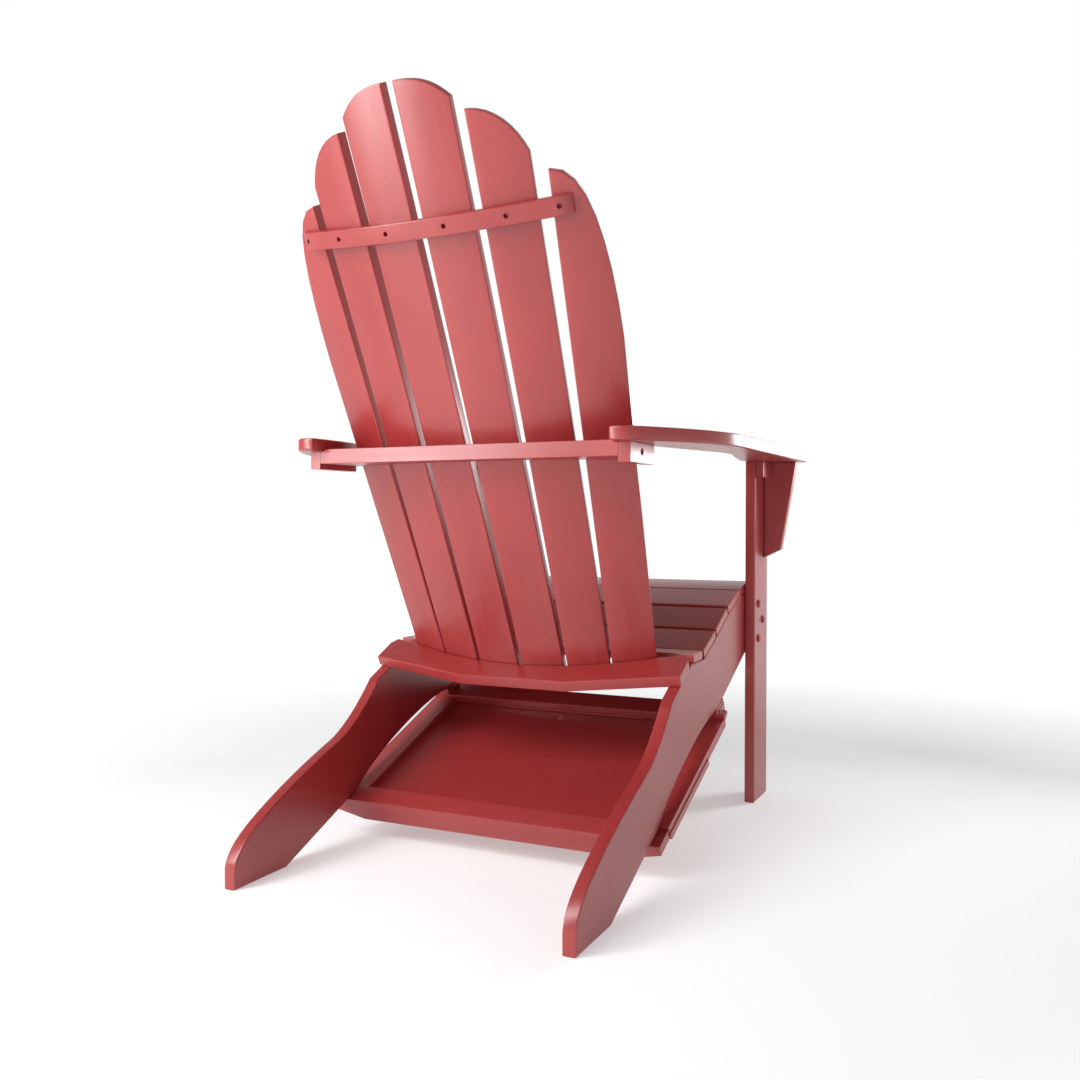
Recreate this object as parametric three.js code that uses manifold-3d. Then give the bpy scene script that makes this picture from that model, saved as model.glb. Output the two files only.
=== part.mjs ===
// Adirondack chair with a slide-out footrest board, as an assembly of separate boards and fasteners.
// Millimetres, +Z up. Origin on the ground under the middle of the chair, +X is the sitter's left,
// +Y is the rear, so the chair faces -Y. Distances called "d" run forward from the rear feet.
import * as THREE from 'three'
import { mergeVertices } from 'three/addons/utils/BufferGeometryUtils.js'
import Module from 'manifold-3d'

const wasm = await Module()
wasm.setup()

// ---- driving dimensions -------------------------------------------------------------------------
const DEPTH = 805.4 // rear feet to the front of the legs
const GAP = 0.3 // clearance between touching boards
const BOARD = 17.9 // stock thickness of the frame boards
const EDGE = 2.2 // radius of the eased edges

const STRINGER_OUT = 254 // half width over the stringers
const LEG_OUT = 271.6 // half width over the legs
const LEG_REAR = 717.5
const LEG_TOP = 586.5
const SLOPE = 0.4175 // rise per run of the stringer's lower edge
const FOOT_LENGTH = 105

const ARM_TOP = 604.7
const ARM_UNDER = 586.8
const CLEAT_BOTTOM = 560.7
const CROSSBAR_REAR = 179.8
const CROSSBAR_TOP = 589.6

const RECLINE = THREE.MathUtils.degToRad(25.5) // back leaning from upright
const BACK_FOOT = new THREE.Vector3(0, 363.5, 268.9) // back surface at the crosspiece top: x, d, z
const BACK_RADIUS = 520 // hollow of the back in plan, straight beyond HOLLOW_ANGLE
const HOLLOW_ANGLE = THREE.MathUtils.degToRad(18.5)
const SLAT_RADIUS = 325 // each back slat is hollowed a little more than the back as a whole
const SLAT_SEAT = 2 // how far the middle of a slat stands behind the back's hollow
const BACK_THICK = 17.2
const BATTEN_U = 653 // height of the batten along the back
const BATTEN_WIDE = 23.6
const BATTEN_HALF = 200.5
const BATTEN_END = [[0.6, 7], [3.4, 11.6], [8.5, 15.2]] // rounded end: inset, behind the hollow

const SEAT_THICK = 14
const SEAT_SLATS = [
  { front: [802, 356.1], rear: [755.5, 377.5] },
  { front: [745, 379], rear: [689, 370.2] },
  { front: [683.2, 368.2], rear: [612.5, 346.5] },
  { front: [606.6, 343.7], rear: [544.5, 316] },
  { front: [538.5, 313.7], rear: [478.5, 289.2] },
  { front: [471, 289.8], rear: [429.5, 289.8] },
]
const CROWN_TOP = [[684.4, 368.7], [718, 378.4], [754.4, 379.4]]
const CROWN_UNDER = [[748.4, 365.4], [689, 356.1]]

const TRAY_TILT = THREE.MathUtils.degToRad(20.6)
const TRAY_ORIGIN = new THREE.Vector3(0, 252, 58)
const TRAY_HALF = 264
const TRAY_LENGTH = 322 // rear bar's rear face to front bar's rear face
const BAR_LENGTH = 37.7
const FRONT_BAR_LENGTH = 43
const RAIL_IN = 225.5
const PANEL_HALF = 239.5
const LAYER = 10.5 // thickness of the thin footrest stock
const FINGER_HOLE = new THREE.Vector2(15, 304)
const FINGER_HOLE_RADIUS = 6.5

const RED = 0xa82c2c
const DARK_RED = 0x8a2424

// ---- frames -------------------------------------------------------------------------------------
const Y = (d) => DEPTH / 2 - d
const X_AXIS = new THREE.Vector3(1, 0, 0)
const Y_AXIS = new THREE.Vector3(0, 1, 0)
const Z_AXIS = new THREE.Vector3(0, 0, 1)

// Back frame: N points forward out of the back, U runs up along it.
const N_AXIS = new THREE.Vector3(0, -Math.cos(RECLINE), Math.sin(RECLINE))
const U_AXIS = new THREE.Vector3(0, Math.sin(RECLINE), Math.cos(RECLINE))
const backPoint = (x, n, u) =>
  new THREE.Vector3(x, Y(BACK_FOOT.y), BACK_FOOT.z).addScaledVector(N_AXIS, n).addScaledVector(U_AXIS, u)

// Footrest frame: S slides forward and up, H stands square to the footrest board.
const S_AXIS = new THREE.Vector3(0, -Math.cos(TRAY_TILT), Math.sin(TRAY_TILT))
const H_AXIS = new THREE.Vector3(0, Math.sin(TRAY_TILT), Math.cos(TRAY_TILT))
const trayPoint = (x, h, s) =>
  new THREE.Vector3(x, Y(TRAY_ORIGIN.y), TRAY_ORIGIN.z).addScaledVector(H_AXIS, h).addScaledVector(S_AXIS, s)

// ---- solids -------------------------------------------------------------------------------------
// A board: outline in axes a and b, thickness along c, with eased edges all round.
function board(outline, thick, edge, origin, a, b, c, holes = []) {
  const shape = outline instanceof THREE.Shape ? outline : new THREE.Shape(outline)
  for (const hole of holes) shape.holes.push(hole)
  const geometry = new THREE.ExtrudeGeometry(shape, {
    depth: thick - 2 * edge,
    bevelEnabled: edge > 0,
    bevelThickness: edge,
    bevelSize: edge,
    bevelOffset: -edge,
    bevelSegments: 2,
    curveSegments: 10,
  })
  geometry.translate(0, 0, edge)
  const basis = new THREE.Matrix4().makeBasis(a, b, c)
  basis.setPosition(origin)
  geometry.applyMatrix4(basis)
  return geometry
}

const points = (...pairs) => pairs.map(([x, y]) => new THREE.Vector2(x, y))

const rectangle = (x0, y0, x1, y1) => points([x0, y0], [x1, y0], [x1, y1], [x0, y1])

// A closed skin through matching rings of points, capped by strips between the two halves of a ring.
function skin(rings, columns) {
  const size = rings[0].length
  const positions = []
  const triangle = (p, q, r) => positions.push(p.x, p.y, p.z, q.x, q.y, q.z, r.x, r.y, r.z)
  for (let k = 0; k + 1 < rings.length; k++) {
    for (let i = 0; i < size; i++) {
      const j = (i + 1) % size
      triangle(rings[k][i], rings[k][j], rings[k + 1][j])
      triangle(rings[k][i], rings[k + 1][j], rings[k + 1][i])
    }
  }
  const first = rings[0]
  const last = rings[rings.length - 1]
  for (let i = 0; i < columns; i++) {
    const top = size - 1 - i
    triangle(first[i], first[top], first[top - 1])
    triangle(first[i], first[top - 1], first[i + 1])
    triangle(last[i], last[i + 1], last[top - 1])
    triangle(last[i], last[top - 1], last[top])
  }
  const geometry = new THREE.BufferGeometry()
  geometry.setAttribute('position', new THREE.Float32BufferAttribute(positions, 3))
  geometry.computeVertexNormals()
  return geometry
}

// A turned solid about the axis through "origin", profile as radius and height pairs from the axis.
function turned(profile, segments, origin, direction) {
  const geometry = new THREE.LatheGeometry(points(...profile), segments)
  geometry.rotateX(Math.PI / 2)
  const turn = new THREE.Quaternion().setFromUnitVectors(Z_AXIS, direction)
  geometry.applyQuaternion(turn)
  geometry.translate(origin.x, origin.y, origin.z)
  return geometry
}

function toManifold(geometry) {
  const bare = geometry.index ? geometry.toNonIndexed() : geometry.clone()
  bare.deleteAttribute('normal')
  bare.deleteAttribute('uv')
  const merged = mergeVertices(bare, 1e-4)
  return new wasm.Manifold(
    new wasm.Mesh({
      numProp: 3,
      vertProperties: new Float32Array(merged.attributes.position.array),
      triVerts: new Uint32Array(merged.index.array),
    }),
  )
}

function subtract(geometry, cutters) {
  let solid = toManifold(geometry)
  for (const cutter of cutters) solid = solid.subtract(toManifold(cutter))
  const mesh = solid.getMesh()
  const indexed = new THREE.BufferGeometry()
  indexed.setAttribute('position', new THREE.Float32BufferAttribute(mesh.vertProperties, 3))
  indexed.setIndex(new THREE.Uint32BufferAttribute(mesh.triVerts, 1))
  const result = indexed.toNonIndexed()
  result.computeVertexNormals()
  return result
}

const chair = new THREE.Group()
chair.name = 'adirondack_chair'

function add(name, geometry, color = RED, roughness = 0.42, metalness = 0) {
  const mesh = new THREE.Mesh(geometry, new THREE.MeshStandardMaterial({ color, roughness, metalness }))
  mesh.name = name
  chair.add(mesh)
}

const SIDES = [
  ['left', 1],
  ['right', -1],
]

// ---- stringers and legs -------------------------------------------------------------------------
const BOLTS = [
  [742, 341.7],
  [773, 312],
  [743, 281.7],
]
const BOLT_SHANK = 3
const BOLT_HOLE = 3.35

const lowerEdge = (d) => SLOPE * (d - FOOT_LENGTH)
const RUN = 1 / Math.hypot(1, SLOPE)
const onLower = (s, lift) => [FOOT_LENGTH + s * RUN - lift * SLOPE * RUN, s * SLOPE * RUN + lift * RUN]

// Underside of a seat slat, "drop" below its top line.
function slatLine(slat, drop) {
  const run = slat.front[0] - slat.rear[0]
  const rise = slat.front[1] - slat.rear[1]
  const length = Math.hypot(run, rise)
  const shift = [(rise / length) * drop, (-run / length) * drop]
  return [slat.rear, slat.front].map(([d, z]) => [d + shift[0], z + shift[1]])
}

function boltHoles(toLocal) {
  return BOLTS.map(([d, z]) => {
    const path = new THREE.Path()
    const [a, b] = toLocal(d, z)
    for (let i = 0; i < 10; i++) {
      const angle = (-i * Math.PI) / 5
      const x = a + BOLT_HOLE * Math.cos(angle)
      const y = b + BOLT_HOLE * Math.sin(angle)
      if (i === 0) path.moveTo(x, y)
      else path.lineTo(x, y)
    }
    path.closePath()
    return path
  })
}

function stringerShape() {
  const shape = new THREE.Shape()
  const facetFoot = BACK_FOOT.z - (BOARD + GAP) / Math.cos(RECLINE)
  const seatFacet = (d) => facetFoot + Math.tan(RECLINE) * (d - BACK_FOOT.y)
  const dip = SEAT_SLATS[5].rear[1] - SEAT_THICK - GAP
  const facetEnd = BACK_FOOT.y + (dip - seatFacet(BACK_FOOT.y)) / Math.tan(RECLINE)
  shape.moveTo(Y(0), 0)
  shape.lineTo(Y(0), 28)
  shape.bezierCurveTo(Y(6), 56, Y(42), 76, Y(92), 100)
  shape.quadraticCurveTo(Y(150), 128, Y(229), 155)
  shape.bezierCurveTo(Y(262), 167, Y(305), 203, Y(332), seatFacet(332))
  shape.lineTo(Y(facetEnd), dip)
  shape.lineTo(Y(SEAT_SLATS[5].front[0] + 2), dip)
  for (const slat of SEAT_SLATS.slice(1, 5).reverse()) {
    for (const [d, z] of slatLine(slat, SEAT_THICK + GAP)) shape.lineTo(Y(d), z)
  }
  const [noseRear, noseFront] = slatLine(SEAT_SLATS[0], SEAT_THICK + GAP)
  const noseSlope = (noseFront[1] - noseRear[1]) / (noseFront[0] - noseRear[0])
  const front = DEPTH - BOARD - GAP
  shape.lineTo(Y(noseRear[0]), noseRear[1])
  shape.lineTo(Y(front), noseRear[1] + noseSlope * (front - noseRear[0]))
  shape.lineTo(Y(front), lowerEdge(front))
  const archFront = onLower(484, 0)
  const pull1 = onLower(420, 24)
  const pull2 = onLower(240, 24)
  const archRear = onLower(187, 0)
  shape.lineTo(Y(archFront[0]), archFront[1])
  shape.bezierCurveTo(Y(pull1[0]), pull1[1], Y(pull2[0]), pull2[1], Y(archRear[0]), archRear[1])
  shape.lineTo(Y(FOOT_LENGTH), 0)
  shape.closePath()
  return shape
}

for (const [side, sign] of SIDES) {
  const inner = sign > 0 ? STRINGER_OUT - BOARD : -STRINGER_OUT
  const holes = boltHoles((d, z) => [Y(d), z])
  const origin = new THREE.Vector3(inner, 0, 0)
  add(`stringer_${side}`, board(stringerShape(), BOARD, EDGE, origin, Y_AXIS, Z_AXIS, X_AXIS, holes))

  const legThick = LEG_OUT - STRINGER_OUT - GAP
  const legIn = sign > 0 ? STRINGER_OUT + GAP : -LEG_OUT
  const leg = rectangle(Y(DEPTH), 0, Y(LEG_REAR), LEG_TOP)
  const legOrigin = new THREE.Vector3(legIn, 0, 0)
  const legHoles = boltHoles((d, z) => [Y(d), z])
  add(`front_leg_${side}`, board(leg, legThick, EDGE, legOrigin, Y_AXIS, Z_AXIS, X_AXIS, legHoles))

  BOLTS.forEach(([d, z], index) => {
    const reach = LEG_OUT - STRINGER_OUT + BOARD - 1
    const profile = [
      [0, -reach],
      [BOLT_SHANK, -reach],
      [BOLT_SHANK, GAP],
      [7, GAP],
      [7, 1.6],
      [5.4, 3.4],
      [2.8, 4.3],
      [0, 4.5],
    ]
    const seat = new THREE.Vector3(sign * LEG_OUT, Y(d), z)
    const name = `leg_bolt_${side}_${index + 1}`
    add(name, turned(profile, 10, seat, new THREE.Vector3(sign, 0, 0)), DARK_RED, 0.35)
  })
}

// ---- arms ---------------------------------------------------------------------------------------
const ARM_INNER = [
  [250, 690],
  [270, 581],
  [285, 487],
  [255, 358],
  [232, 252],
  [227, 185],
]
const ARM_OUTER = [
  [250, 157],
  [258, 163],
  [270, 178],
  [287, 203],
  [306, 236],
  [328, 286],
  [344, 350],
]

function armOutline(sign) {
  const inner = new THREE.SplineCurve(points(...ARM_INNER)).getPoints(14)
  const heel = points([227, 162], [229, 157], [233.5, 155], [243, 155])
  const outer = new THREE.SplineCurve(points(...ARM_OUTER)).getPoints(10)
  const nose = points([344, 792], [341, 799], [334, 802], [258, 802], [252, 799], [250, 792])
  return [...inner, ...heel, ...outer, ...nose].map(({ x, y }) => new THREE.Vector2(sign * x, Y(y)))
}

for (const [side, sign] of SIDES) {
  const arm = armOutline(sign)
  const origin = new THREE.Vector3(0, 0, ARM_UNDER)
  add(`arm_${side}`, board(arm, ARM_TOP - ARM_UNDER, 3, origin, X_AXIS, Y_AXIS, Z_AXIS))

  const bracketIn = LEG_OUT + GAP
  const bracket = points([bracketIn, LEG_TOP], [327.4, LEG_TOP], [301.3, 434.5], [bracketIn, 420])
  for (const corner of bracket) corner.x *= sign
  const bracketAt = new THREE.Vector3(0, Y(778.3), 0)
  add(`arm_bracket_${side}`, board(bracket, 16, 1.6, bracketAt, X_AXIS, Z_AXIS, Y_AXIS.clone().negate()))

  const frontCleat = rectangle(Y(777.8), 559.5, Y(717.5), LEG_TOP)
  const cleatThick = 13.6
  const frontIn = sign > 0 ? bracketIn : -bracketIn - cleatThick
  const screwSeat = new THREE.Vector3(sign * (bracketIn + cleatThick), Y(762), 575.6)
  const outward = new THREE.Vector3(sign, 0, 0)
  const frontAt = new THREE.Vector3(frontIn, 0, 0)
  const frontBlock = board(frontCleat, cleatThick, 1.5, frontAt, Y_AXIS, Z_AXIS, X_AXIS)
  const sink = [
    [0, -6],
    [1.9, -6],
    [4.4, -0.6],
    [4.4, 1],
    [0, 1],
  ]
  const screw = [
    [0, -5.6],
    [1.5, -5.6],
    [3.7, -1.2],
    [1.2, -1.2],
    [0.8, -1.9],
    [0, -1.9],
  ]
  add(`arm_front_cleat_${side}`, subtract(frontBlock, [turned(sink, 12, screwSeat, outward)]))
  add(`front_cleat_screw_${side}`, turned(screw, 12, screwSeat, outward), DARK_RED, 0.35)

  const rearCleat = rectangle(Y(269), CLEAT_BOTTOM, Y(CROSSBAR_REAR), LEG_TOP)
  const rearThick = 16.5
  const rearIn = sign > 0 ? 232.3 : -232.3 - rearThick
  const rearSeat = new THREE.Vector3(sign * (232.3 + rearThick), Y(222), 575.5)
  const rearBlock = board(rearCleat, rearThick, 0.6, new THREE.Vector3(rearIn, 0, 0), Y_AXIS, Z_AXIS, X_AXIS)
  const rearSink = [
    [0, -8],
    [4.2, -8],
    [5.2, -0.5],
    [5.2, 1],
    [0, 1],
  ]
  const rearScrew = [
    [0, -7.6],
    [3.6, -7.6],
    [3.6, -6.2],
    [1.4, -5.7],
    [1.1, -6.6],
    [0, -6.6],
  ]
  add(`arm_rear_cleat_${side}`, subtract(rearBlock, [turned(rearSink, 12, rearSeat, outward)]))
  add(`rear_cleat_screw_${side}`, turned(rearScrew, 12, rearSeat, outward), DARK_RED, 0.35)
}

// ---- back ---------------------------------------------------------------------------------------
// Forward position of the back's rear surface, "behind" further back, at a distance x from the middle.
function hollow(x, behind) {
  const radius = BACK_RADIUS + behind
  const bend = radius * Math.sin(HOLLOW_ANGLE)
  const reach = Math.min(Math.abs(x), bend)
  const straight = (Math.abs(x) - reach) * Math.tan(HOLLOW_ANGLE)
  return BACK_RADIUS - Math.sqrt(radius ** 2 - reach ** 2) + straight
}

// Slat edges as x = foot + lean * u, and the rounded top as a curve from inner to outer corner.
const BACK_SLATS = [
  {
    inner: [3.1, 0.006],
    outer: [71.6, 0.0074],
    top: [[8.1, 826.3], [46, 826.3], [62, 813], [77.5, 797]],
  },
  {
    inner: [76.6, 0.0195],
    outer: [141, 0.0258],
    top: [[91.8, 780], [125, 777], [148, 752], [159.6, 720]],
  },
  {
    inner: [143.2, 0.0467],
    outer: [206.8, 0.0525],
    top: [[175.7, 695.5], [222, 694], [234, 598], [232, 480]],
  },
]

function backSlat(slat, sign, columns) {
  const curve = new THREE.CubicBezierCurve(...points(...slat.top))
  const tops = curve.getPoints(columns)
  const widthAt = (u, share) => {
    const inner = slat.inner[0] + slat.inner[1] * u
    const outer = slat.outer[0] + slat.outer[1] * u
    return inner + (outer - inner) * share
  }
  const bottomU = -BOARD + GAP
  const first = tops[0]
  const last = tops[columns]
  const loop = (inset) => {
    const ring = []
    for (let i = 0; i <= columns; i++) {
      const x = widthAt(bottomU, (tops[i].x - first.x) / (last.x - first.x))
      const side = i === 0 ? inset : i === columns ? -inset : 0
      ring.push([x + side, bottomU + inset])
    }
    for (let i = columns; i >= 0; i--) {
      const tangent = curve.getTangent(i / columns)
      let x = tops[i].x + tangent.y * inset
      let u = tops[i].y - tangent.x * inset
      if (i === 0) {
        x = first.x + inset
        u = first.y - inset
      }
      if (i === columns) {
        x = last.x - inset
        u = last.y - inset * 0.5
      }
      ring.push([x, u])
    }
    return ring
  }
  const layers = [
    [EDGE, 0],
    [EDGE * 0.3, EDGE * 0.3],
    [0, EDGE],
    [0, BACK_THICK - EDGE],
    [EDGE * 0.3, BACK_THICK - EDGE * 0.3],
    [EDGE, BACK_THICK],
  ]
  const rings = layers.map(([inset, depth]) => {
    const ring = loop(inset).map(([x, u]) => {
      const middle = widthAt(u, 0.5)
      const lean = Math.min(Math.asin(middle / BACK_RADIUS), HOLLOW_ANGLE)
      const centreX = middle - SLAT_RADIUS * Math.sin(lean)
      const centreN = hollow(middle, SLAT_SEAT) + SLAT_RADIUS * Math.cos(lean)
      const angle = Math.asin((x - centreX) / SLAT_RADIUS)
      const reach = SLAT_RADIUS - depth
      return backPoint(sign * (centreX + reach * Math.sin(angle)), centreN - reach * Math.cos(angle), u)
    })
    return ring
  })
  if (sign < 0) rings.reverse()
  return skin(rings, columns)
}

// Numbered across the back from the sitter's left to right.
const ORDER = [
  [2, 1],
  [1, 1],
  [0, 1],
  [0, -1],
  [1, -1],
  [2, -1],
]
ORDER.forEach(([which, sign], index) => {
  add(`back_slat_${index + 1}`, backSlat(BACK_SLATS[which], sign, 8))
})

// Curved edge that the slats bear on, as plan points from x0 to x1.
function bearing(x0, x1, behind, count) {
  const list = []
  for (let i = 0; i <= count; i++) {
    const x = x0 + ((x1 - x0) * i) / count
    list.push([x, hollow(x, behind)])
  }
  return list
}

const crosspiece = points(
  [256, -6],
  [256, 36],
  [248, 49],
  ...bearing(212, -212, SLAT_SEAT + 0.5, 18),
  [-248, 49],
  [-256, 36],
  [-256, -6],
  [-87, -41],
  [87, -41],
)
add(
  'lower_crosspiece',
  board(crosspiece, BOARD, EDGE, backPoint(0, 0, 0), X_AXIS, N_AXIS, U_AXIS.clone().negate()),
)

const battenRear = BOARD - 0.9
const battenEnd = BATTEN_END.map(([inset, behind]) => {
  const x = BATTEN_HALF - inset
  return [x, hollow(x, behind)]
})
const batten = points(
  ...bearing(BATTEN_HALF, -BATTEN_HALF, SLAT_SEAT + 0.5, 14),
  ...battenEnd.map(([x, n]) => [-x, n]),
  ...bearing(-BATTEN_HALF + 16, BATTEN_HALF - 16, battenRear, 14),
  ...battenEnd.toReversed(),
)
const battenBlank = board(
  batten,
  BATTEN_WIDE,
  1.4,
  backPoint(0, 0, BATTEN_U + BATTEN_WIDE / 2),
  X_AXIS,
  N_AXIS,
  U_AXIS.clone().negate(),
)
const BATTEN_SCREWS = [191.1, 124.4, 42.9, -42.9, -124.4, -191.1]
const battenScrews = BATTEN_SCREWS.map((x) => {
  const place = x * (Math.abs(x) > 190 ? 0.985 : 1)
  const seat = backPoint(place, hollow(place, battenRear), BATTEN_U)
  const turn = Math.min(Math.asin(Math.abs(place) / (BACK_RADIUS + battenRear)), HOLLOW_ANGLE)
  const angle = Math.sign(place) * turn
  const out = N_AXIS.clone().multiplyScalar(-Math.cos(angle)).addScaledVector(X_AXIS, Math.sin(angle))
  return { seat, out }
})
const counterbore = [
  [0, -8],
  [3.2, -8],
  [3.2, 2],
  [0, 2],
]
const recessed = [
  [0, -7.7],
  [2.8, -7.7],
  [2.8, -6.4],
  [1.3, -6],
  [1, -6.8],
  [0, -6.8],
]
const battenBores = battenScrews.map(({ seat, out }) => turned(counterbore, 12, seat, out))
add('back_batten', subtract(battenBlank, battenBores))
battenScrews.forEach(({ seat, out }, index) => {
  add(`batten_screw_${index + 1}`, turned(recessed, 12, seat, out), DARK_RED, 0.35)
})

// Arm-level crossbar: level board whose front edge follows the reclined hollow of the back. Between the
// arms it stands a little above their undersides.
function armCrossbar() {
  const columns = 16
  const front = (x, z) => {
    const n = hollow(x, SLAT_SEAT + 0.6)
    return BACK_FOOT.y - Math.tan(RECLINE) * (z - BACK_FOOT.z) + n / Math.cos(RECLINE)
  }
  const ring = (z, half, inset) => {
    const list = []
    for (let i = 0; i <= columns; i++) {
      const x = (half - inset) * (1 - (2 * i) / columns)
      list.push([x, CROSSBAR_REAR + inset])
    }
    for (let i = columns; i >= 0; i--) {
      const x = (half - inset) * (1 - (2 * i) / columns)
      const reach = Math.min(front(x, z), front(222, z))
      list.push([x, reach - inset])
    }
    return list.map(([x, d]) => new THREE.Vector3(x, Y(d), z))
  }
  const bottom = LEG_TOP - BOARD
  const ease = 0.6
  const wide = 232
  const between = 225.5
  const rings = [
    ring(bottom, wide, ease),
    ring(bottom + ease, wide, 0),
    ring(LEG_TOP - GAP, wide, 0),
    ring(LEG_TOP, between, 0),
    ring(CROSSBAR_TOP - ease, between, 0),
    ring(CROSSBAR_TOP, between, ease),
  ]
  return skin(rings, columns)
}
add('arm_crossbar', armCrossbar())

// ---- seat ---------------------------------------------------------------------------------------
// The second slat, on the crown of the seat, is rounded over; the others are flat.
SEAT_SLATS.forEach((slat, index) => {
  if (index === 1) return
  const run = slat.front[0] - slat.rear[0]
  const rise = slat.front[1] - slat.rear[1]
  const length = Math.hypot(run, rise)
  const along = new THREE.Vector3(0, run / length, -rise / length)
  const up = new THREE.Vector3(0, rise / length, run / length)
  const origin = new THREE.Vector3(0, Y(slat.front[0]), slat.front[1]).addScaledVector(up, -SEAT_THICK)
  const half = index === 0 ? STRINGER_OUT - 0.4 : STRINGER_OUT
  const outline = rectangle(-half, 0, half, length)
  add(`seat_slat_${index + 1}`, board(outline, SEAT_THICK, EDGE, origin, X_AXIS, along, up))
})

const crownTop = new THREE.QuadraticBezierCurve(...points(...CROWN_TOP)).getPoints(10)
const crown = [...crownTop, ...points(...CROWN_UNDER)].map(({ x, y }) => new THREE.Vector2(Y(x), y))
const crownHalf = STRINGER_OUT - 0.4
const crownAt = new THREE.Vector3(-crownHalf, 0, 0)
add('seat_slat_2', board(crown.reverse(), 2 * crownHalf, 1, crownAt, Y_AXIS, Z_AXIS, X_AXIS))

const apron = rectangle(-STRINGER_OUT + 0.2, 262, STRINGER_OUT - 0.2, 341)
const apronAt = new THREE.Vector3(0, Y(DEPTH - BOARD), 0)
add('front_apron', board(apron, BOARD, EDGE, apronAt, X_AXIS, Z_AXIS, Y_AXIS.clone().negate()))

// ---- footrest -----------------------------------------------------------------------------------
// Height of the stringers' lower edge above the footrest plane, at a distance s along it.
function lowerEdgeAbove(s) {
  const cos = Math.cos(TRAY_TILT)
  const sin = Math.sin(TRAY_TILT)
  const d = TRAY_ORIGIN.y + cos * s
  const z = TRAY_ORIGIN.z + sin * s
  return (lowerEdge(d) - z) / (cos + SLOPE * sin)
}

const trayBlock = (outline, s0, s1, edge) =>
  board(outline, s1 - s0, edge, trayPoint(0, 0, s0), X_AXIS, H_AXIS, S_AXIS)

const rearTop = lowerEdgeAbove(0) - GAP
const rearBar = points(
  [-247, rearTop],
  [-247, -4.5],
  [-TRAY_HALF + 1, -4.5],
  [-TRAY_HALF + 1, -19],
  [-215, -31],
  [215, -31],
  [TRAY_HALF - 1, -19],
  [TRAY_HALF - 1, -4.5],
  [247, -4.5],
  [247, rearTop],
)
add('footrest_rear_bar', trayBlock(rearBar, 0, BAR_LENGTH, 1.8))

const frontTop = lowerEdgeAbove(TRAY_LENGTH) - GAP
const frontMiddle = 4.1
const frontEnd = 7.6
const barDrop = -2 * LAYER
const frontBar = points(
  [-237, frontMiddle],
  [-237, frontTop],
  [-253.5, frontTop],
  [-253.5, frontEnd],
  [-266, frontEnd],
  [-266, 2],
  [-258, barDrop],
  [-PANEL_HALF - 0.6, barDrop],
  [-PANEL_HALF - 0.6, -LAYER],
  [PANEL_HALF + 0.6, -LAYER],
  [PANEL_HALF + 0.6, barDrop],
  [258, barDrop],
  [266, 2],
  [266, frontEnd],
  [253.5, frontEnd],
  [253.5, frontTop],
  [237, frontTop],
  [237, frontMiddle],
)
const frontBlank = trayBlock(frontBar, TRAY_LENGTH, TRAY_LENGTH + FRONT_BAR_LENGTH, 1.2)
const endCuts = SIDES.map(([, sign]) => {
  const cut = rectangle(Math.min(sign * 254.2, sign * 280), -40, Math.max(sign * 254.2, sign * 280), 30)
  return trayBlock(cut, TRAY_LENGTH + 17, TRAY_LENGTH + FRONT_BAR_LENGTH + 5, 0)
})
add('footrest_front_bar', subtract(frontBlank, endCuts))

for (const [side, sign] of SIDES) {
  const span = (x0, h0, x1, h1) => {
    const ends = [sign * x0, sign * x1]
    return rectangle(Math.min(...ends), h0, Math.max(...ends), h1)
  }
  const start = BAR_LENGTH + GAP
  const end = TRAY_LENGTH - GAP
  const rail = trayBlock(span(RAIL_IN, -LAYER + GAP, TRAY_HALF, 0), start, end, 1.6)
  add(`footrest_rail_${side}`, rail)
  const keeper = trayBlock(span(PANEL_HALF + 0.6, barDrop, TRAY_HALF + 1.5, -LAYER), start + 1, 230, 2.6)
  add(`footrest_keeper_${side}`, keeper)
  const ledgeSpan = span(RAIL_IN, barDrop - LAYER + 0.6, 256, barDrop - GAP)
  const ledge = trayBlock(ledgeSpan, start, TRAY_LENGTH + 35, 1.6)
  add(`footrest_ledge_${side}`, ledge)
}

const panel = rectangle(-PANEL_HALF, 0, PANEL_HALF, TRAY_LENGTH + 36 - BAR_LENGTH - GAP)
const panelTop = trayPoint(0, -LAYER - 0.4, BAR_LENGTH + GAP)
const panelThick = LAYER - 0.8
const fingerHole = new THREE.Path()
fingerHole.absarc(FINGER_HOLE.x, FINGER_HOLE.y - BAR_LENGTH - GAP, FINGER_HOLE_RADIUS, 0, 2 * Math.PI, true)
const panelAxes = [X_AXIS, S_AXIS, H_AXIS.clone().negate()]
add('footrest_board', board(panel, panelThick, 1.8, panelTop, ...panelAxes, [fingerHole]))

const bead = rectangle(-130, -10, 130, -7.4)
add('footrest_bead', trayBlock(bead, TRAY_LENGTH - 2.6, TRAY_LENGTH - GAP, 0.6))

export default chair
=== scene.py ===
# Adirondack chair with a footrest board: paint, studio and camera around the chair's solids.
# Metres, +Z up, the chair faces -Y, +X is the sitter's left.
import bpy
import math
import re
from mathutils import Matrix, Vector

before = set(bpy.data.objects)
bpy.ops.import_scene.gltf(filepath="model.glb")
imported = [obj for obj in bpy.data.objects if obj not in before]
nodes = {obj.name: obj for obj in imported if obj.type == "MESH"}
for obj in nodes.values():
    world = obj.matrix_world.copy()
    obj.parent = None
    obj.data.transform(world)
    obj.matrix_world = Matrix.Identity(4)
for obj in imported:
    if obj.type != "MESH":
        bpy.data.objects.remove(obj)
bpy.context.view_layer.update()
scene = bpy.context.scene

# ---- driving values -------------------------------------------------------------------------
LENS = 35.105
SENSOR = 36.0
CAMERA_AT = (-0.7218, 1.46575, 0.49023)
CAMERA_YAW = math.radians(25.7371)
CAMERA_PITCH = math.radians(1.2114)

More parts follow.
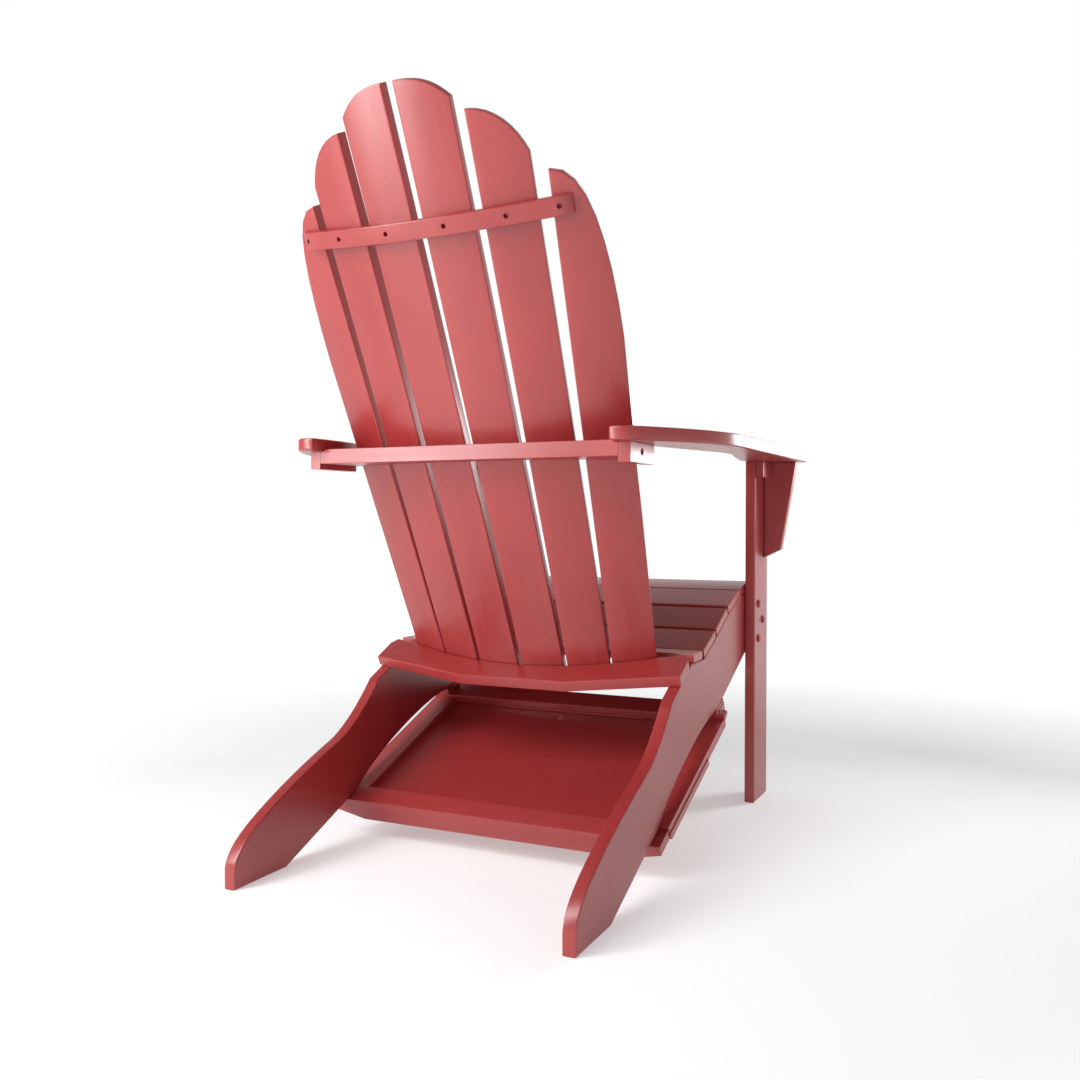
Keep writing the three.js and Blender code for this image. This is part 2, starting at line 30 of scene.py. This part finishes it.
WHITE = (1.0, 1.0, 1.0, 1.0)
PAINT = (0.325, 0.024, 0.024, 1.0)
PAINT_DEEP = (0.280, 0.019, 0.019, 1.0)
# Paler red: the tone of the paler grain streaks and speckle, and the painted highlight on eased
# edges.
PAINT_PALE_AND_EDGE_HIGHLIGHT = (0.420, 0.052, 0.050, 1.0)
FASTENER = (0.330, 0.022, 0.022, 1.0)

# World light: strengths, and the directions between which one gives way to the other.
OVERHEAD = 0.50
OVERHEAD_FADE = (0.46, 0.66)
AROUND = 0.48
AROUND_FADE = (0.765, 0.80)

# Floor: half its side, its sink below the feet, and its glow by distance from the chair's middle.
FLOOR_HALF = 30.0
FLOOR_SINK = 0.0004
FLOOR_WHITE = (0.74, 0.76, 0.76, 1.0)
FLOOR_FADE = (0.8, 2.2)
FLOOR_GLOW_NEAR = 0.33
FLOOR_GLOW_FAR = 0.85

# Lamps: name, place, target, size, watts.
LAMPS = [
    ("high_rear", (0.6, 2.0, 2.2), (0.0, 0.1, 0.25), (1.3, 1.1), 27),
    ("side_box", (0.86, 1.42, 0.98), (0.02, 0.22, 0.72), (0.46, 1.20), 21),
    ("rim", (-0.60, -0.75, 0.65), (-0.25, 0.2, 0.56), (0.20, 0.20), 3.4),
]

# Noise sizes, as repeats in a metre.
CLOUD_SCALE = 7.0
STREAK_SCALE = 150.0
SPOT_SCALE = 420.0
PORE_SCALE = 620.0
PEEL_SCALE = 900.0
GRAIN_STRETCH = 14.0

# Corners nearer than the distance are joined, and edges that turn less than the limit shade smoothly.
SMOOTH_LIMIT = math.radians(24)
MERGE_DISTANCE = 0.00001

# Which way the grain runs, as the turn from the board's length to Z. The first match counts.
ALONG_X = (0.0, math.radians(90), 0.0)
ALONG_Y = (math.radians(90), 0.0, 0.0)
ALONG_Z = (0.0, 0.0, 0.0)
LEAN = math.radians(25.5)
GRAIN = [
    (r"back_slat_\d", (-LEAN, 0.0, 0.0)),
    (r"stringer_.*|arm_(left|right)|arm_.*cleat_.*|footrest_(rail|keeper|ledge)_.*", ALONG_Y),
    (r"front_leg_.*|arm_bracket_.*", ALONG_Z),
    (r".*", ALONG_X),
]


# ---- node helpers ---------------------------------------------------------------------------
def new_material(name):
    material = bpy.data.materials.new(name)
    material.use_nodes = True
    tree = material.node_tree
    shader = tree.nodes["Principled BSDF"]
    return material, tree, shader


def set_inputs(node, **inputs):
    """Sets a node's sockets by name, with _ for each space."""
    for key, value in inputs.items():
        node.inputs[key.replace("_", " ")].default_value = value


def add_node(tree, kind, **inputs):
    node = tree.nodes.new(kind)
    set_inputs(node, **inputs)
    return node


def vector_math(tree, operation, vector, other=None):
    node = tree.nodes.new("ShaderNodeVectorMath")
    node.operation = operation
    if other is not None:
        node.inputs[1].default_value = other
    tree.links.new(vector, node.inputs[0])
    return node


def noise(tree, vector, scale, detail=3.0, rough=0.55):
    node = add_node(tree, "ShaderNodeTexNoise", Scale=scale, Detail=detail, Roughness=rough)
    tree.links.new(vector, node.inputs["Vector"])
    return node.outputs["Fac"]


def ramp(tree, value, low, high, out_low, out_high):
    node = add_node(
        tree, "ShaderNodeMapRange", From_Min=low, From_Max=high, To_Min=out_low, To_Max=out_high)
    tree.links.new(value, node.inputs["Value"])
    return node.outputs["Result"]


def blend_color(tree, factor, first, second):
    node = tree.nodes.new("ShaderNodeMix")
    node.data_type = "RGBA"
    tree.links.new(factor, node.inputs[0])
    for socket, source in ((node.inputs[6], first), (node.inputs[7], second)):
        if isinstance(source, tuple):
            socket.default_value = source
        else:
            tree.links.new(source, socket)
    return node.outputs[2]


def bump(tree, height, strength, distance, under=None):
    """Normal raised by a height, on top of another bump's normal where there is one."""
    node = add_node(tree, "ShaderNodeBump", Strength=strength, Distance=distance)
    tree.links.new(height, node.inputs["Height"])
    if under is not None:
        tree.links.new(under, node.inputs["Normal"])
    return node.outputs["Normal"]


def stretched(tree, turn):
    """Object coordinates turned so the grain lies along Z and drawn out along it, and plain ones."""
    coordinates = tree.nodes.new("ShaderNodeTexCoord")
    mapping = tree.nodes.new("ShaderNodeMapping")
    mapping.vector_type = "TEXTURE"
    set_inputs(mapping, Rotation=turn, Scale=(1.0, 1.0, GRAIN_STRETCH))
    tree.links.new(coordinates.outputs["Object"], mapping.inputs["Vector"])
    return mapping.outputs["Vector"], coordinates.outputs["Object"]


# ---- camera ---------------------------------------------------------------------------------
def camera_forward():
    return Vector((
        math.sin(CAMERA_YAW) * math.cos(CAMERA_PITCH),
        -math.cos(CAMERA_YAW) * math.cos(CAMERA_PITCH),
        -math.sin(CAMERA_PITCH),
    ))


def make_camera():
    data = bpy.data.cameras.new("view_camera")
    data.lens = LENS
    data.sensor_width = SENSOR
    camera = bpy.data.objects.new("view_camera", data)
    scene.collection.objects.link(camera)
    camera.location = CAMERA_AT
    camera.rotation_euler = camera_forward().to_track_quat("-Z", "Y").to_euler()
    scene.camera = camera


# ---- studio ---------------------------------------------------------------------------------
def add_lamp(name, place, target, size, power):
    data = bpy.data.lights.new(name, "AREA")
    data.shape = "RECTANGLE"
    data.size, data.size_y = size
    data.energy = power
    lamp = bpy.data.objects.new(name, data)
    scene.collection.objects.link(lamp)
    lamp.location = place
    lamp.rotation_euler = (Vector(target) - Vector(place)).to_track_quat("-Z", "Y").to_euler()
    lamp.visible_camera = False


def make_world():
    """White beyond the front of the chair, dimmer to the sides, behind and overhead."""
    world = bpy.data.worlds.new("studio")
    world.use_nodes = True
    tree = world.node_tree
    background = tree.nodes["Background"]
    coordinates = tree.nodes.new("ShaderNodeTexCoord")
    direction = coordinates.outputs["Generated"]
    split = tree.nodes.new("ShaderNodeSeparateXYZ")
    tree.links.new(direction, split.inputs["Vector"])
    height = ramp(tree, split.outputs["Z"], *OVERHEAD_FADE, 1.0, OVERHEAD)
    facing = vector_math(tree, "DOT_PRODUCT", direction, camera_forward())
    around = ramp(tree, facing.outputs["Value"], *AROUND_FADE, AROUND, 1.0)
    level = tree.nodes.new("ShaderNodeMath")
    level.operation = "MULTIPLY"
    tree.links.new(height, level.inputs[0])
    tree.links.new(around, level.inputs[1])
    tree.links.new(level.outputs["Value"], background.inputs["Strength"])
    background.inputs["Color"].default_value = WHITE
    scene.world = world


def make_floor():
    """A flat pale sheet that glows more and more away from the chair, into the white beyond it."""
    half = FLOOR_HALF
    corners = [(-half, -half, 0), (half, -half, 0), (half, half, 0), (-half, half, 0)]
    mesh = bpy.data.meshes.new("floor")
    mesh.from_pydata(corners, [], [(0, 1, 2, 3)])
    floor = bpy.data.objects.new("floor", mesh)
    scene.collection.objects.link(floor)
    floor.location.z = -FLOOR_SINK
    material, tree, shader = new_material("floor_white")
    set_inputs(
        shader, Base_Color=FLOOR_WHITE, Roughness=1.0, Specular_IOR_Level=0.0, Emission_Color=WHITE)
    geometry = tree.nodes.new("ShaderNodeNewGeometry")
    distance = vector_math(tree, "LENGTH", geometry.outputs["Position"])
    glow = ramp(tree, distance.outputs["Value"], *FLOOR_FADE, FLOOR_GLOW_NEAR, FLOOR_GLOW_FAR)
    tree.links.new(glow, shader.inputs["Emission Strength"])
    mesh.materials.append(material)


def make_studio():
    scene.view_settings.view_transform = "Standard"
    scene.view_settings.look = "None"
    make_world()
    make_floor()
    for lamp in LAMPS:
        add_lamp(*lamp)


# ---- finishes -------------------------------------------------------------------------------
def red_paint(name, turn, offset):
    """Satin paint on planed boards: grain and pores show faintly, orange peel, and edges made paler
    as a painted highlight.
    """
    material, tree, shader = new_material(name)
    grain, plain = stretched(tree, turn)
    grain = vector_math(tree, "ADD", grain, offset).outputs[0]

    streaks = noise(tree, grain, STREAK_SCALE, 4.0, 0.62)
    pores = noise(tree, grain, PORE_SCALE, 2.0, 0.5)
    cloud = noise(tree, plain, CLOUD_SCALE)
    peel = noise(tree, plain, PEEL_SCALE, 2.0, 0.5)

    geometry = tree.nodes.new("ShaderNodeNewGeometry")
    # Painted highlight: convex eased edges (high pointiness) are blended toward the paler red, as if
    # light caught their rounding.
    edge = ramp(tree, geometry.outputs["Pointiness"], 0.52, 0.60, 0.0, 0.55)
    mottle = ramp(tree, cloud, 0.32, 0.70, 0.0, 1.0)
    fibre = ramp(tree, streaks, 0.38, 0.66, 0.0, 0.16)
    color = blend_color(tree, mottle, PAINT_DEEP, PAINT)
    color = blend_color(tree, fibre, color, PAINT_PALE_AND_EDGE_HIGHLIGHT)
    color = blend_color(tree, edge, color, PAINT_PALE_AND_EDGE_HIGHLIGHT)
    tree.links.new(color, shader.inputs["Base Color"])

    gloss = ramp(tree, streaks, 0.30, 0.72, 0.30, 0.39)
    tree.links.new(gloss, shader.inputs["Roughness"])
    set_inputs(shader, IOR=1.5, Specular_IOR_Level=0.72, Coat_Weight=0.12, Coat_Roughness=0.22)

    normal = bump(tree, peel, 0.10, 0.00025)
    normal = bump(tree, streaks, 0.10, 0.0003, normal)
    normal = bump(tree, pores, 0.08, 0.0002, normal)
    tree.links.new(normal, shader.inputs["Normal"])
    return material


def fastener_paint():
    """Painted steel heads: glossier than the boards, with faint speckle."""
    material, tree, shader = new_material("fastener_paint_finish")
    coordinates = tree.nodes.new("ShaderNodeTexCoord")
    spots = noise(tree, coordinates.outputs["Object"], SPOT_SCALE, 2.0, 0.5)
    shade = ramp(tree, spots, 0.35, 0.68, 0.0, 1.0)
    color = blend_color(tree, shade, FASTENER, PAINT_PALE_AND_EDGE_HIGHLIGHT)
    tree.links.new(color, shader.inputs["Base Color"])
    gloss = ramp(tree, spots, 0.30, 0.70, 0.20, 0.34)
    tree.links.new(gloss, shader.inputs["Roughness"])
    set_inputs(shader, Specular_IOR_Level=0.7)
    tree.links.new(bump(tree, spots, 0.12, 0.0002), shader.inputs["Normal"])
    return material


# ---- smooth shading of the eased edges ------------------------------------------------------
def smoothing_group():
    """Joins split corners and shades across any edge that turns less than the limit."""
    group = bpy.data.node_groups.new("smooth_by_angle", "GeometryNodeTree")
    group.interface.new_socket("Geometry", in_out="INPUT", socket_type="NodeSocketGeometry")
    group.interface.new_socket("Geometry", in_out="OUTPUT", socket_type="NodeSocketGeometry")
    into = group.nodes.new("NodeGroupInput")
    out = group.nodes.new("NodeGroupOutput")
    merge = group.nodes.new("GeometryNodeMergeByDistance")
    merge.inputs["Distance"].default_value = MERGE_DISTANCE
    angle = group.nodes.new("GeometryNodeInputMeshEdgeAngle")
    gentle = group.nodes.new("FunctionNodeCompare")
    gentle.data_type = "FLOAT"
    gentle.operation = "LESS_EQUAL"
    gentle.inputs["B"].default_value = SMOOTH_LIMIT
    edges = group.nodes.new("GeometryNodeSetShadeSmooth")
    edges.domain = "EDGE"
    faces = group.nodes.new("GeometryNodeSetShadeSmooth")
    faces.domain = "FACE"
    link = group.links.new
    link(into.outputs[0], merge.inputs["Geometry"])
    link(merge.outputs["Geometry"], faces.inputs["Geometry"])
    link(faces.outputs["Geometry"], edges.inputs["Geometry"])
    link(angle.outputs["Unsigned Angle"], gentle.inputs["A"])
    link(gentle.outputs["Result"], edges.inputs["Shade Smooth"])
    link(edges.outputs["Geometry"], out.inputs[0])
    return group


# ---- assigning finishes ---------------------------------------------------------------------
def grain_offset(index):
    """Moves the grain by a different amount from piece to piece, so no two boards look alike."""
    return (0.37 * (index % 7), 0.53 * (index % 5), 0.29 * (index % 11))


def finish_pieces():
    group = smoothing_group()
    fastener = fastener_paint()
    for index, (name, piece) in enumerate(sorted(nodes.items())):
        if re.search(r"bolt|screw", name):
            finish = fastener
        else:
            turn = next(turn for pattern, turn in GRAIN if re.fullmatch(pattern, name))
            finish = red_paint(f"red_paint_{name}", turn, grain_offset(index))
        for slot in piece.material_slots:
            slot.material = finish
        smooth = piece.modifiers.new("smooth_by_angle", "NODES")
        smooth.node_group = group
        weighted = piece.modifiers.new("weighted_normals", "WEIGHTED_NORMAL")
        weighted.keep_sharp = True


make_camera()
make_studio()
finish_pieces()
